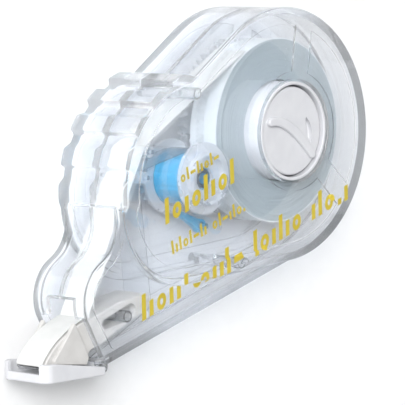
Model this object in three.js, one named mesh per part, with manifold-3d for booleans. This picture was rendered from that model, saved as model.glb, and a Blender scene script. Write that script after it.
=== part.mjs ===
// Correction tape roller in a clear two-part case.
// Millimetres. +Z runs across the width of the tape, from the face that lies on the table to the
// printed face. +X runs along the straight bottom rail, from the nose to the round belly. The origin
// is on the resting face, on the axis of the supply reel.
import * as THREE from 'three';
import { mergeVertices } from 'three/addons/utils/BufferGeometryUtils.js';
import Module from 'manifold-3d';

const wasm = await Module();
wasm.setup();

// ---------------------------------------------------------------- driving dimensions
const TAPE_WIDTH = 7;
const TAPE_LOW = 5.4;
const TAPE_HIGH = TAPE_LOW + TAPE_WIDTH;
const TAPE_THICKNESS = 0.12;

const CASE_WIDTH = 17.6;
const MIDDLE = CASE_WIDTH / 2;
const SEAM_GAP = 0.2;
const TOUCH_GAP = 0.3;
const NOSE_INSET = 1.6;
const WALL = 1.2;
const FACE_THICKNESS = 1.6;
const ROOT = 0.5;
const OVERCUT = 1;
const PANEL_RECESS = 0.5;
const BODY_RIM = 3.4;
const NOSE_RIM = 2.2;

const RAIL_Y = -25.4;
const BELLY = { x: -3, y: 0.3, radius: 25.7 };
const GRIP = { x: -28.3, y: -2.5, ribRadius: 24.0, valleyRadius: 22.7, end: 169 };
const RIB_COUNT = 5;
const RIB_FIRST = 90;
const RIB_PITCH = 17.4;
const RIB_LAND = 8;
const RIB_DROP = 1;
const RIB_RISE = 4;
const SHOULDER_ANGLE = 81.4;
const NECK = { x: -60.4, y: 1.75, radius: 8.2 };
const NOSE = { x: -57, y: -14.5, radius: 8.4 };
const NOSE_END_ANGLE = 186;
const HEEL = { x: -63, y: RAIL_Y };
const WINDOW_TOP = -11.7;
const WINDOW_DEPTH = 2;
const MOUTH_REACH = 8;
const PANEL_ARC = { x: -35.2, y: -2.1, radius: 16.7, start: 168 };

const SPOKE_WIDTH = 5;
const SPOKE_REACH = 40;
const SPOKE_ANGLES = [66, -59];
const HUB_OPENING = 10.6;
const HUB_RING_WIDTH = 1.6;

const TOOTH_MODULE = 0.5;
const PRESSURE_ANGLE = 20;
const DEDENDUM = 0.62;
const ADDENDUM = 0.42;
const ROOT_FLARE = 0.1;
const SUPPLY_TEETH = 74;
const TAKE_UP_TEETH = 26;
const GEAR_LOW = 2.1;
const GEAR_HIGH = 3.6;
const TOOTH_SHARE = 0.38;
const TAKE_UP = { x: -25.06, y: -1.4 };
const LIGHTENING = { count: 6, reach: 11.5, radius: 3.2, first: 30 };

const ROLL_RADIUS = 18.8;
const CORE_OUTER = 10.1;
const CORE_INNER = 9.4;
const CORE_FLANGE = 12.6;
const CORE_LOW = 4.4;
const CORE_TOP = 17.2;
const DISC_RADIUS = 9.05;
const DISC_THICKNESS = 1.6;
const DISC_TOP = 16.6;
const POCKET_DEPTH = 1;
const RIDGE_TOP = 17.5;
const STEM_RADIUS = 4.7;
const SPINDLE = 3.0;
const SPINDLE_BORE = 1.8;
const SPINDLE_TOP = 14;
const GEAR_PLAY = 0.4;
const TAKE_UP_SPINDLE = 2.0;
const TAKE_UP_SPINDLE_BORE = 1.1;
const TAKE_UP_SPINDLE_TOP = 13.4;
const TAKE_UP_BORE = TAKE_UP_SPINDLE + 0.3;
const BARREL = 5.5;
const BARREL_LOW = 5.1;
const BARREL_TOP = 12.7;
const FILM_WRAP = 5.95;
const FILM_INNER = 5.65;
const FLANGE = { radius: 7.2, low: 13.0, high: 13.8, collarOuter: 5.2, collarInner: 4.4, collarTop: 15.4 };
const LOWER_FLANGE = { radius: 7.6, low: 4.0, high: 4.8, neck: 5 };

const GUIDE_UPPER = { x: -37.4, y: 8.5 };
const GUIDE_LOWER = { x: -40.0, y: 4.1 };
const GUIDE_RADIUS = 1.15;
const GUIDE_BORE = 0.75;
const GUIDE_LOW = 5.0;
const GUIDE_TOP = 12.8;
const GUIDE_PIN = 0.45;
const GUIDE_PIN_TOP = 13.6;

const LOCATORS = [
  { x: -24.5, y: 16.2, foot: FACE_THICKNESS },
  { x: -21, y: -20.8, foot: FACE_THICKNESS },
  { x: -54, y: -19.2, foot: NOSE_INSET + FACE_THICKNESS },
];
const LOCATOR_POST = 1.2;
const LOCATOR_PIN = 0.55;
const LOCATOR_PIN_TOP = 11.5;
const LOCATOR_BORE = 0.85;
const PAWL_PIVOT = { x: -18.4, y: -14.6 };
const PAWL = { eye: 1.4, bore: 0.9, arm: 1.1, pin: 0.6, pinTop: 5 };
const PAWL_TIP = { x: -24.4, y: -8.95, radius: 0.3 };
const HINGE = { x: -61.4, y: -27.0 };
const HINGE_EYE = 1.15;
const HINGE_BORE = 0.75;
const HINGE_PIN = 0.5;
const HINGE_PIN_ENDS = [4.3, 13.3];
const EAR_FLARE = 0.8;
const EAR_SINK = 0.4;
const FAR_EAR = [4.6, 5.8];
const NEAR_EAR = [11.8, 13];
const KNUCKLE = [6.1, 11.5];

// ---------------------------------------------------------------- plane geometry helpers
const radians = (degrees) => degrees * Math.PI / 180;

function polar(centre, radius, degrees) {
  const angle = radians(degrees);
  return new THREE.Vector2(centre.x + radius * Math.cos(angle), centre.y + radius * Math.sin(angle));
}

function arc(centre, radius, from, to, steps) {
  const points = [];
  for (let i = 0; i <= steps; i += 1) {
    points.push(polar(centre, radius, from + (to - from) * i / steps));
  }
  return points;
}

function bearing(from, to) {
  return THREE.MathUtils.radToDeg(Math.atan2(to.y - from.y, to.x - from.x));
}

function distance(a, b) {
  return Math.hypot(b.x - a.x, b.y - a.y);
}

// Angle on a circle where the tangent from an outside point touches it, on the left of the view.
function tangentAngle(point, centre, radius) {
  const half = THREE.MathUtils.radToDeg(Math.acos(radius / distance(point, centre)));
  return bearing(centre, point) - half;
}

// Angle of the shared normal where one straight line touches two circles on their lower side.
function lowerTangentAngle(first, firstRadius, second, secondRadius) {
  const cosine = (firstRadius - secondRadius) / distance(first, second);
  return bearing(first, second) - THREE.MathUtils.radToDeg(Math.acos(cosine));
}

// ---------------------------------------------------------------- solid helpers
function solid(geometry) {
  geometry.deleteAttribute('normal');
  geometry.deleteAttribute('uv');
  const merged = mergeVertices(geometry, 1e-4);
  return new wasm.Manifold(new wasm.Mesh({
    numProp: 3,
    vertProperties: new Float32Array(merged.attributes.position.array),
    triVerts: new Uint32Array(merged.index.array),
  }));
}

function surface(body) {
  const mesh = body.getMesh();
  const geometry = new THREE.BufferGeometry();
  geometry.setAttribute('position', new THREE.BufferAttribute(mesh.vertProperties, 3));
  geometry.setIndex(new THREE.BufferAttribute(mesh.triVerts, 1));
  geometry.computeVertexNormals();
  return geometry;
}

function prism(points, bottom, top, holes = []) {
  const shape = new THREE.Shape(points);
  shape.holes = holes.map((hole) => new THREE.Path(hole));
  const geometry = new THREE.ExtrudeGeometry(shape, { depth: top - bottom, bevelEnabled: false });
  geometry.translate(0, 0, bottom);
  return solid(geometry);
}

function circle(centre, radius, sides) {
  return arc(centre, radius, 0, 360, sides).slice(0, -1);
}

function post(centre, radius, bottom, top, sides = 24) {
  return prism(circle(centre, radius, sides), bottom, top);
}

function ring(centre, outer, inner, bottom, top, sides = 48) {
  return prism(circle(centre, outer, sides), bottom, top, [circle(centre, inner, sides)]);
}

function box(low, high) {
  const geometry = new THREE.BoxGeometry(high[0] - low[0], high[1] - low[1], high[2] - low[2]);
  geometry.translate((low[0] + high[0]) / 2, (low[1] + high[1]) / 2, (low[2] + high[2]) / 2);
  return solid(geometry);
}

function joined(bodies) {
  return bodies.reduce((total, body) => total.add(body));
}

function cut(body, tools) {
  return tools.reduce((rest, tool) => rest.subtract(tool), body);
}

// ---------------------------------------------------------------- case outlines
const ORIGIN = { x: 0, y: 0 };

function gripPoints(inset, ribbed) {
  if (!ribbed) {
    return arc(GRIP, GRIP.valleyRadius - inset, SHOULDER_ANGLE, GRIP.end, 12);
  }
  const points = [polar(GRIP, GRIP.valleyRadius, SHOULDER_ANGLE)];
  for (let rib = 0; rib < RIB_COUNT; rib += 1) {
    const start = RIB_FIRST + RIB_PITCH * rib;
    points.push(...arc(GRIP, GRIP.ribRadius, start, start + RIB_LAND, 2));
    if (rib < RIB_COUNT - 1) {
      points.push(...arc(GRIP, GRIP.valleyRadius, start + RIB_LAND + RIB_DROP, start + RIB_PITCH - RIB_RISE, 2));
    }
  }
  return points;
}

function bellyAndGrip(inset, ribbed, from) {
  const radius = BELLY.radius - inset;
  const shoulder = polar(GRIP, GRIP.valleyRadius - inset, SHOULDER_ANGLE);
  const end = tangentAngle(shoulder, BELLY, radius);
  return [...arc(BELLY, radius, from, end, 30), ...gripPoints(inset, ribbed)];
}

// The whole case: rail, belly, grip, neck and nose. An open mouth runs on past the nose.
function caseOutline(inset, ribbed, openMouth = false) {
  const neckEnd = bearing(NECK, NOSE);
  const points = [
    ...bellyAndGrip(inset, ribbed, -90),
    ...arc(NECK, NECK.radius + inset, 0, neckEnd, 8),
    ...arc(NOSE, NOSE.radius - inset, neckEnd + 180, NOSE_END_ANGLE, 9).slice(1),
  ];
  const last = points[points.length - 1];
  if (openMouth) {
    points.push(new THREE.Vector2(last.x - MOUTH_REACH, last.y));
    points.push(new THREE.Vector2(last.x - MOUTH_REACH, RAIL_Y + inset));
  } else {
    points.push(new THREE.Vector2(HEEL.x + inset, HEEL.y + inset));
  }
  return points;
}

// The wide part of the case, whose side faces stand out past the nose and the rail.
function bodyOutline(inset, ribbed) {
  const arcRadius = PANEL_ARC.radius - inset;
  const low = lowerTangentAngle(PANEL_ARC, arcRadius, BELLY, BELLY.radius - inset);
  return [
    ...bellyAndGrip(inset, ribbed, low),
    ...arc(PANEL_ARC, arcRadius, PANEL_ARC.start, 360 + low, 12),
  ];
}

// ---------------------------------------------------------------- case halves
// Built as the lower half, lying on its side face. The upper half is its mirror image.
function halfShell() {
  const top = MIDDLE - SEAM_GAP / 2;
  const shell = joined([
    prism(bodyOutline(0, true), 0, top),
    prism(caseOutline(0, true), NOSE_INSET, top),
  ]);
  const cavities = [
    prism(bodyOutline(WALL, false), FACE_THICKNESS, top + OVERCUT),
    prism(caseOutline(WALL, false, true), NOSE_INSET + FACE_THICKNESS, top + OVERCUT),
  ];
  const window = box(
    [NOSE.x - NOSE.radius - WINDOW_DEPTH, NOSE.y - MOUTH_REACH, TAPE_LOW - TOUCH_GAP],
    [NOSE.x - WINDOW_DEPTH, WINDOW_TOP, top + OVERCUT],
  );
  return cut(shell, [...cavities, window]);
}

function spokeWheel(bottom, top) {
  const spokes = SPOKE_ANGLES.map((angle) => {
    const side = polar(ORIGIN, SPOKE_WIDTH / 2, angle + 90);
    const start = polar(ORIGIN, HUB_OPENING + ROOT, angle);
    const end = polar(ORIGIN, SPOKE_REACH, angle);
    return prism([
      start.clone().sub(side),
      end.clone().sub(side),
      end.clone().add(side),
      start.clone().add(side),
    ], bottom, top);
  });
  return joined([...spokes, post(ORIGIN, HUB_OPENING + HUB_RING_WIDTH, bottom, top, 40)]);
}

function panelRecesses() {
  const wheel = spokeWheel(-2 * OVERCUT, 2 * OVERCUT);
  const bodyRecess = cut(prism(bodyOutline(BODY_RIM, false), -OVERCUT, PANEL_RECESS), [wheel]);
  const noseRecess = cut(
    prism(caseOutline(NOSE_RIM, false), NOSE_INSET - OVERCUT, NOSE_INSET + PANEL_RECESS),
    [prism(bodyOutline(0, false), NOSE_INSET - 2 * OVERCUT, NOSE_INSET + 2 * OVERCUT)],
  );
  return [bodyRecess, noseRecess];
}

function hingeEar([bottom, top]) {
  const eye = circle(HINGE, HINGE_EYE, 20);
  const web = [
    new THREE.Vector2(HINGE.x - HINGE_EYE, HINGE.y),
    new THREE.Vector2(HINGE.x + HINGE_EYE, HINGE.y),
    new THREE.Vector2(HINGE.x + HINGE_EYE + EAR_FLARE, RAIL_Y + EAR_SINK),
    new THREE.Vector2(HINGE.x - HINGE_EYE, RAIL_Y + EAR_SINK),
  ];
  const ear = joined([prism(eye, bottom, top), prism(web, bottom, top)]);
  return cut(ear, [post(HINGE, HINGE_BORE, bottom - OVERCUT, top + OVERCUT, 16)]);
}

function farCaseHalf() {
  const foot = FACE_THICKNESS - ROOT;
  const spindles = [
    ring(ORIGIN, SPINDLE, SPINDLE_BORE, foot, SPINDLE_TOP, 32),
    ring(TAKE_UP, TAKE_UP_SPINDLE, TAKE_UP_SPINDLE_BORE, foot, TAKE_UP_SPINDLE_TOP, 24),
  ];
  const guidePins = [GUIDE_UPPER, GUIDE_LOWER].map((guide) => post(guide, GUIDE_PIN, foot, GUIDE_PIN_TOP, 12));
  const locatorPins = LOCATORS.map((pin) => joined([
    post(pin, LOCATOR_POST, pin.foot - ROOT, MIDDLE - ROOT, 16),
    post(pin, LOCATOR_PIN, pin.foot - ROOT, LOCATOR_PIN_TOP, 12),
  ]));
  const pawlPin = post(PAWL_PIVOT, PAWL.pin, foot, PAWL.pinTop, 12);
  const shell = cut(halfShell(), panelRecesses());
  return joined([shell, ...spindles, ...guidePins, ...locatorPins, pawlPin, hingeEar(FAR_EAR)]);
}

function nearCaseHalf() {
  const hubOpening = post(ORIGIN, HUB_OPENING, -OVERCUT, FACE_THICKNESS + OVERCUT, 48);
  const shell = cut(halfShell(), [...panelRecesses(), hubOpening]);
  const mirrored = shell.mirror([0, 0, 1]).translate([0, 0, CASE_WIDTH]);
  const sockets = LOCATORS.map((pin) => (
    ring(pin, LOCATOR_POST, LOCATOR_BORE, MIDDLE + SEAM_GAP, CASE_WIDTH - pin.foot + ROOT, 16)
  ));
  return joined([mirrored, ...sockets, hingeEar(NEAR_EAR)]);
}

// ---------------------------------------------------------------- gears
function involute(baseRadius, radius) {
  const parameter = Math.sqrt((radius / baseRadius) ** 2 - 1);
  return parameter - Math.atan(parameter);
}

// Spur gear outline with involute flanks and generous backlash.
function gearOutline(centre, teeth, phase) {
  const pitch = teeth * TOOTH_MODULE / 2;
  const base = pitch * Math.cos(radians(PRESSURE_ANGLE));
  const root = pitch - DEDENDUM;
  const low = Math.max(base + 0.001, root);
  const tip = pitch + ADDENDUM;
  const halfThickness = Math.PI / teeth * TOOTH_SHARE;
  const points = [];
  for (let tooth = 0; tooth < teeth; tooth += 1) {
    const middle = phase + 360 * tooth / teeth;
    const [atRoot, atTip] = [low, tip].map((radius) => (
      THREE.MathUtils.radToDeg(halfThickness + involute(base, pitch) - involute(base, radius))
    ));
    points.push(polar(centre, root, middle - atRoot - ROOT_FLARE));
    points.push(polar(centre, tip, middle - atTip));
    points.push(polar(centre, tip, middle + atTip));
    points.push(polar(centre, root, middle + atRoot + ROOT_FLARE));
  }
  return points;
}

function supplyGear() {
  const bore = SPINDLE + GEAR_PLAY;
  const outline = gearOutline(ORIGIN, SUPPLY_TEETH, bearing(ORIGIN, TAKE_UP));
  const rim = prism(outline, GEAR_LOW, GEAR_HIGH, [circle(ORIGIN, bore, 32)]);
  const boss = ring(ORIGIN, 5.4, bore, GEAR_HIGH - ROOT, GEAR_HIGH + 0.5, 32);
  const holes = [];
  for (let index = 0; index < LIGHTENING.count; index += 1) {
    const angle = LIGHTENING.first + 360 * index / LIGHTENING.count;
    holes.push(post(polar(ORIGIN, LIGHTENING.reach, angle), LIGHTENING.radius, 0, GEAR_HIGH + OVERCUT, 14));
  }
  return cut(rim.add(boss), holes);
}

function takeUpGear() {
  const halfTooth = 180 / TAKE_UP_TEETH;
  const outline = gearOutline(TAKE_UP, TAKE_UP_TEETH, bearing(TAKE_UP, ORIGIN) + halfTooth);
  const teeth = prism(outline, GEAR_LOW, GEAR_HIGH, [circle(TAKE_UP, TAKE_UP_BORE, 24)]);
  const neck = ring(TAKE_UP, LOWER_FLANGE.neck, TAKE_UP_BORE, GEAR_HIGH - ROOT, LOWER_FLANGE.low + 0.4, 24);
  const flange = ring(TAKE_UP, LOWER_FLANGE.radius, TAKE_UP_BORE, LOWER_FLANGE.low, LOWER_FLANGE.high, 36);
  return joined([teeth, neck, flange]);
}

// ---------------------------------------------------------------- supply reel
// The friction arm runs across the disc, shallow at its free end and steep towards the rim.
const ARM_CURVE = [[-6.1, 3.9], [-2.0, 3.6], [1.4, -1.0], [4.1, -6.4]];
const ARM_HALF_WIDTH = 1.05;
const POCKET_OUTER = { x: 1.5, y: -1.5, radius: 4.5, half: 38 };
const POCKET_INNER = { x: 9.5, y: -1.5, radius: 5.3, half: 32 };

function ridgeOutline() {
  const curve = new THREE.CubicBezierCurve(...ARM_CURVE.map(([x, y]) => new THREE.Vector2(x, y)));
  const left = [];
  const right = [];
  const steps = 16;
  for (let i = 0; i <= steps; i += 1) {
    const share = i / steps;
    const point = curve.getPoint(share);
    const tangent = curve.getTangent(share);
    const side = new THREE.Vector2(-tangent.y, tangent.x);
    side.multiplyScalar(ARM_HALF_WIDTH * Math.sin(Math.PI * (0.3 + 0.4 * share)));
    left.push(point.clone().add(side));
    right.unshift(point.clone().sub(side));
  }
  return [...right, ...left].reverse();
}

function clutchDisc() {
  const plate = post(ORIGIN, DISC_RADIUS, DISC_TOP - DISC_THICKNESS, DISC_TOP, 48);
  const stemTop = DISC_TOP - DISC_THICKNESS + ROOT;
  const stem = ring(ORIGIN, STEM_RADIUS, SPINDLE + GEAR_PLAY, GEAR_HIGH + 0.8, stemTop, 32);
  const pocketEdge = [
    ...arc(POCKET_OUTER, POCKET_OUTER.radius, -POCKET_OUTER.half, POCKET_OUTER.half, 8),
    ...arc(POCKET_INNER, POCKET_INNER.radius, 180 - POCKET_INNER.half, 180 + POCKET_INNER.half, 8),
  ];
  const pocket = prism(pocketEdge, DISC_TOP - POCKET_DEPTH, DISC_TOP + OVERCUT);
  const ridge = prism(ridgeOutline(), DISC_TOP - ROOT, RIDGE_TOP);
  return cut(plate, [pocket]).add(stem).add(ridge);
}

function supplyCore() {
  const wall = ring(ORIGIN, CORE_OUTER, CORE_INNER, CORE_LOW, CORE_TOP, 48);
  const flange = ring(ORIGIN, CORE_FLANGE, CORE_INNER, CORE_LOW, TAPE_LOW - TOUCH_GAP, 48);
  return wall.add(flange);
}

function tapeRoll() {
  return ring(ORIGIN, ROLL_RADIUS, CORE_OUTER + TOUCH_GAP, TAPE_LOW, TAPE_HIGH, 72);
}

// ---------------------------------------------------------------- take-up reel
function takeUpCore() {
  return ring(TAKE_UP, BARREL, TAKE_UP_BORE, BARREL_LOW, BARREL_TOP, 32);
}

function takeUpFlange() {
  const disc = ring(TAKE_UP, FLANGE.radius, TAKE_UP_BORE, FLANGE.low, FLANGE.high, 36);
  const collar = ring(TAKE_UP, FLANGE.collarOuter, FLANGE.collarInner, FLANGE.low + ROOT, FLANGE.collarTop, 32);
  return disc.add(collar);
}

function spentFilmWrap() {
  return ring(TAKE_UP, FILM_WRAP, FILM_INNER, TAPE_LOW, TAPE_HIGH, 36);
}

function antiReversePawl() {
  const direction = bearing(PAWL_PIVOT, PAWL_TIP);
  const arm = prism([
    polar(PAWL_PIVOT, PAWL.arm, direction + 90),
    polar(PAWL_TIP, PAWL_TIP.radius, direction + 90),
    polar(PAWL_TIP, PAWL_TIP.radius, direction - 90),
    polar(PAWL_PIVOT, PAWL.arm, direction - 90),
  ], GEAR_LOW, GEAR_HIGH);
  const eye = post(PAWL_PIVOT, PAWL.eye, GEAR_LOW, GEAR_HIGH, 20);
  return cut(joined([eye, arm]), [post(PAWL_PIVOT, PAWL.bore, 0, GEAR_HIGH + OVERCUT, 16)]);
}

function guideRoller(guide) {
  return ring(guide, GUIDE_RADIUS, GUIDE_BORE, GUIDE_LOW, GUIDE_TOP, 16);
}

// ---------------------------------------------------------------- applicator head
const TIP = { x: -75.0, y: -20.9, radius: 0.6 };
const SHANK_END = { x: -47.2, y: -19.0, radius: 1.7 };
const WEDGE_SIDE = 0.4;
const FIN_INNER = 0.2;
const FIN_OUTER = 1.1;
const SHANK_SLOT = [{ x: -58.6, y: -19.1, radius: 1.0 }, { x: -51.5, y: -19.2, radius: 1.5 }];
const NOTCH = { first: -56.5, pitch: 1.9, width: 0.7, count: 4, depth: -21.25, floor: -23 };

// The convex top of the wedge, from the mouth of the nose to the tip, raised by a lift.
function crown(lift) {
  const curve = new THREE.QuadraticBezierCurve(
    new THREE.Vector2(-62.5, -16.6),
    new THREE.Vector2(-70.5, -16.6),
    polar(TIP, TIP.radius, 115),
  );
  const steps = 10;
  return curve.getPoints(steps).map((point, index) => {
    const tangent = curve.getTangent(index / steps);
    return new THREE.Vector2(point.x + tangent.y * lift, point.y - tangent.x * lift);
  });
}

function headProfile() {
  return [
    ...crown(0),
    ...arc(TIP, TIP.radius, 130, 245, 5),
    new THREE.Vector2(-65.6, -23.9),
    new THREE.Vector2(-63.6, -22.6),
    new THREE.Vector2(-56, -21.6),
    ...arc(SHANK_END, SHANK_END.radius, -100, 85, 8),
    new THREE.Vector2(-54, -16.4),
  ];
}

function sideFin(bottom, top) {
  return prism([
    new THREE.Vector2(-66.5, -15.6),
    new THREE.Vector2(-70.2, -18.2),
    new THREE.Vector2(-73.6, -20.5),
    new THREE.Vector2(-73.6, -21.3),
    new THREE.Vector2(-65.8, -24.5),
    new THREE.Vector2(-64.9, -23.4),
    new THREE.Vector2(-65.3, -20.6),
    new THREE.Vector2(-66.1, -17.4),
  ], bottom, top);
}

function applicatorHead() {
  const wedge = prism(headProfile(), TAPE_LOW - WEDGE_SIDE, TAPE_HIGH + WEDGE_SIDE);
  const fins = [
    sideFin(TAPE_LOW - FIN_OUTER, TAPE_LOW - FIN_INNER),
    sideFin(TAPE_HIGH + FIN_INNER, TAPE_HIGH + FIN_OUTER),
  ];
  const [slotBack, slotFront] = SHANK_SLOT;
  const slot = prism([
    ...arc(slotBack, slotBack.radius, 90, 270, 8),
    ...arc(slotFront, slotFront.radius, -90, 90, 8),
  ], 0, CASE_WIDTH);
  const notches = [];
  for (let index = 0; index < NOTCH.count; index += 1) {
    const x = NOTCH.first + NOTCH.pitch * index;
    notches.push(box([x, NOTCH.floor, 0], [x + NOTCH.width, NOTCH.depth, CASE_WIDTH]));
  }
  return cut(joined([wedge, ...fins]), [slot, ...notches]);
}

// ---------------------------------------------------------------- tape runs
// A strip of even thickness, standing on edge along a path.
function strip(path, thickness) {
  const left = [];
  const right = [];
  path.forEach((point, index) => {
    const before = path[Math.max(index - 1, 0)];
    const after = path[Math.min(index + 1, path.length - 1)];
    const direction = radians(bearing(before, after));
    const side = new THREE.Vector2(-Math.sin(direction), Math.cos(direction)).multiplyScalar(thickness / 2);
    left.push(point.clone().add(side));
    right.unshift(point.clone().sub(side));
  });
  return prism([...left, ...right].reverse(), TAPE_LOW, TAPE_HIGH);
}

const LIFT = TOUCH_GAP + TAPE_THICKNESS / 2;

function freshTapeRun() {
  const rollSide = ROLL_RADIUS + LIFT;
  const guideSide = GUIDE_RADIUS + LIFT;
  const cosine = (rollSide - guideSide) / distance(ORIGIN, GUIDE_UPPER);
  const leave = bearing(ORIGIN, GUIDE_UPPER) - THREE.MathUtils.radToDeg(Math.acos(cosine));
  return strip([
    polar(ORIGIN, rollSide, leave),
    ...arc(GUIDE_UPPER, guideSide, leave, 135, 4),
    ...crown(LIFT),
    ...arc(TIP, TIP.radius + LIFT, 130, 178, 3),
  ], TAPE_THICKNESS);
}

function spentFilmRun() {
  const guideSide = GUIDE_RADIUS + LIFT;
  const wrapSide = FILM_WRAP + LIFT;
  return strip([
    ...arc(TIP, TIP.radius + LIFT, 190, 245, 3),
    new THREE.Vector2(-65.7, -24.3),
    ...arc(SHANK_END, SHANK_END.radius + LIFT, -78, -10, 6),
    ...arc(GUIDE_LOWER, guideSide, 170, 96, 5),
    polar(TAKE_UP, wrapSide, 98),
  ], TAPE_THICKNESS);
}

// ---------------------------------------------------------------- tip cover
// Modelled flat, length along x and width along y, then laid on its slope under the head.
const COVER = {
  length: 15.7,
  width: 12.4,
  floor: 0.9,
  wall: 0.9,
  lip: 1.7,
  front: 3.6,
  shoulder: 2.5,
  back: 1.5,
  slope: -16.1,
  corner: 2,
};
const COVER_FRONT = { x: -78.3, y: -23.3 };
const KNUCKLE_WEB = [
  [-63.6, -27.65],
  [HINGE.x, HINGE.y - HINGE_EYE],
  [HINGE.x, HINGE.y + 0.4],
  [-63.6, -26.95],
];

function roundedTray(inset) {
  const low = inset;
  const across = COVER.width - inset;
  const front = COVER.corner - inset;
  const frontLow = { x: COVER.corner, y: COVER.corner };
  const frontHigh = { x: COVER.corner, y: COVER.width - COVER.corner };
  return [
    ...arc(frontHigh, front, 90, 180, 6),
    ...arc(frontLow, front, 180, 270, 6),
    new THREE.Vector2(COVER.length + low, low),
    new THREE.Vector2(COVER.length + low, across),
  ];
}

function tipCover() {
  const tray = prism(roundedTray(0), 0, COVER.front);
  const above = COVER.front + OVERCUT;
  const hollow = prism(roundedTray(COVER.wall), COVER.floor, above);
  const taper = prism([
    new THREE.Vector2(COVER.shoulder, COVER.front),
    new THREE.Vector2(COVER.length + OVERCUT, COVER.back),
    new THREE.Vector2(COVER.length + OVERCUT, above),
    new THREE.Vector2(COVER.shoulder, above),
  ], -COVER.width - OVERCUT, OVERCUT).rotate([90, 0, 0]);
  const gate = box([-OVERCUT, COVER.corner, COVER.lip], [COVER.corner, COVER.width - COVER.corner, above]);
  const flat = cut(tray, [hollow, taper, gate]);
  const upright = flat.rotate([-90, 0, 0]).translate([0, 0, MIDDLE + COVER.width / 2]);
  const laid = upright.rotate([0, 0, COVER.slope]).translate([COVER_FRONT.x, COVER_FRONT.y, 0]);
  const eye = post(HINGE, HINGE_EYE, ...KNUCKLE, 20);
  const web = prism(KNUCKLE_WEB.map(([x, y]) => new THREE.Vector2(x, y)), ...KNUCKLE);
  return cut(joined([laid, eye, web]), [post(HINGE, HINGE_BORE, 0, CASE_WIDTH, 16)]);
}

function tipCoverPin() {
  return post(HINGE, HINGE_PIN, ...HINGE_PIN_ENDS, 16);
}

// ---------------------------------------------------------------- scene graph
const finish = {
  clear: { color: 0xdfe6ee, roughness: 0.08, metalness: 0 },
  white: { color: 0xf1f1f3, roughness: 0.4, metalness: 0 },
  blue: { color: 0x46bef0, roughness: 0.35, metalness: 0 },
  tape: { color: 0x8f9b9d, roughness: 0.6, metalness: 0 },
  film: { color: 0xe9ecef, roughness: 0.25, metalness: 0 },
  steel: { color: 0xb8bcc2, roughness: 0.3, metalness: 1 },
};

const group = new THREE.Group();

function add(name, body, look) {
  const mesh = new THREE.Mesh(surface(body), new THREE.MeshStandardMaterial(finish[look]));
  mesh.name = name;
  group.add(mesh);
}

add('far_case_half', farCaseHalf(), 'clear');
add('near_case_half', nearCaseHalf(), 'clear');
add('supply_gear', supplyGear(), 'clear');
add('clutch_disc', clutchDisc(), 'white');
add('supply_core', supplyCore(), 'white');
add('tape_roll', tapeRoll(), 'tape');
add('take_up_gear', takeUpGear(), 'clear');
add('take_up_core', takeUpCore(), 'blue');
add('take_up_flange', takeUpFlange(), 'clear');
add('spent_film_wrap', spentFilmWrap(), 'film');
add('anti_reverse_pawl', antiReversePawl(), 'blue');
add('guide_roller_upper', guideRoller(GUIDE_UPPER), 'clear');
add('guide_roller_lower', guideRoller(GUIDE_LOWER), 'clear');
add('applicator_head', applicatorHead(), 'white');
add('fresh_tape_run', freshTapeRun(), 'tape');
add('spent_film_run', spentFilmRun(), 'film');
add('tip_cover', tipCover(), 'white');
add('tip_cover_pin', tipCoverPin(), 'steel');

export default group;
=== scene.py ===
import math
import random

import bmesh
import bpy
from mathutils import Matrix, Vector
from mathutils.bvhtree import BVHTree


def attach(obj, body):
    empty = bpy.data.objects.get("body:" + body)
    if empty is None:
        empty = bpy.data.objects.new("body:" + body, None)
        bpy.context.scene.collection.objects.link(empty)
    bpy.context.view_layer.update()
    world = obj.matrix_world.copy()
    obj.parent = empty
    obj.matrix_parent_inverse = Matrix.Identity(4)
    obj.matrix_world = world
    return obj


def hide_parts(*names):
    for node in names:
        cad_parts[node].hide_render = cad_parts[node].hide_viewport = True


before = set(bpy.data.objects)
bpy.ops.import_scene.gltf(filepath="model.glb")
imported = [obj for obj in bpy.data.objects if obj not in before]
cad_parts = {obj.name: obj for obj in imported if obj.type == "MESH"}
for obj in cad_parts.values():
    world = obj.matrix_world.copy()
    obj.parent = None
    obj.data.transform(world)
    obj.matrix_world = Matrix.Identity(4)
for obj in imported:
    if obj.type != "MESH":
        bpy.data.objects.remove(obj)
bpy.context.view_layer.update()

# Shapes are drawn in millimetres, in the part's frame, and scaled to metres as they become pieces.
# The origin is on the resting face, on the axis of the supply reel; +X runs along the rail towards
# the belly, +Y to the arched top and +Z across the tape.
MM = 0.001

# ---------------------------------------------------------------- driving dimensions
TAPE_LOW, TAPE_HIGH = 5.4, 12.4
TAPE_THICKNESS = 0.12
CASE_WIDTH = 17.6
MIDDLE = CASE_WIDTH / 2
SEAM_GAP = 0.2
TOUCH_GAP = 0.3
INK_ROOM = 0.04
NOSE_INSET = 1.6
WALL = 1.2
FACE_THICKNESS = 1.6
ROOT = 0.5
OVERCUT = 1
PANEL_RECESS = 0.5
BODY_RIM = 3.4
NOSE_RIM = 2.2
RIM_EASE = 0.25
CAVITY_EASE = 0.3

RAIL_Y = -25.4
ORIGIN = Vector((0, 0))
BELLY, BELLY_RADIUS = Vector((-3, 0.3)), 25.7
GRIP, RIB_RADIUS, VALLEY_RADIUS = Vector((-28.3, -2.5)), 24.0, 22.7
RIB_COUNT, RIB_FIRST, RIB_PITCH, RIB_LAND = 5, 90, 17.4, 8
RIB_DROP, RIB_RISE = 1, 4
SHOULDER_ANGLE, GRIP_END_ANGLE = 81.4, 169
NECK, NECK_RADIUS = Vector((-60.4, 1.75)), 8.2
NOSE, NOSE_RADIUS = Vector((-57, -14.5)), 8.4
NOSE_END_ANGLE = 186
HEEL = Vector((-63, RAIL_Y))
WINDOW_TOP, WINDOW_DEPTH = -11.7, 2
MOUTH_REACH = 8
PANEL_ARC, PANEL_RADIUS, PANEL_START = Vector((-35.2, -2.1)), 16.7, 168
CORNER_EASE = 0.5
SPOKE_WIDTH, SPOKE_REACH = 5, 40
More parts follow.
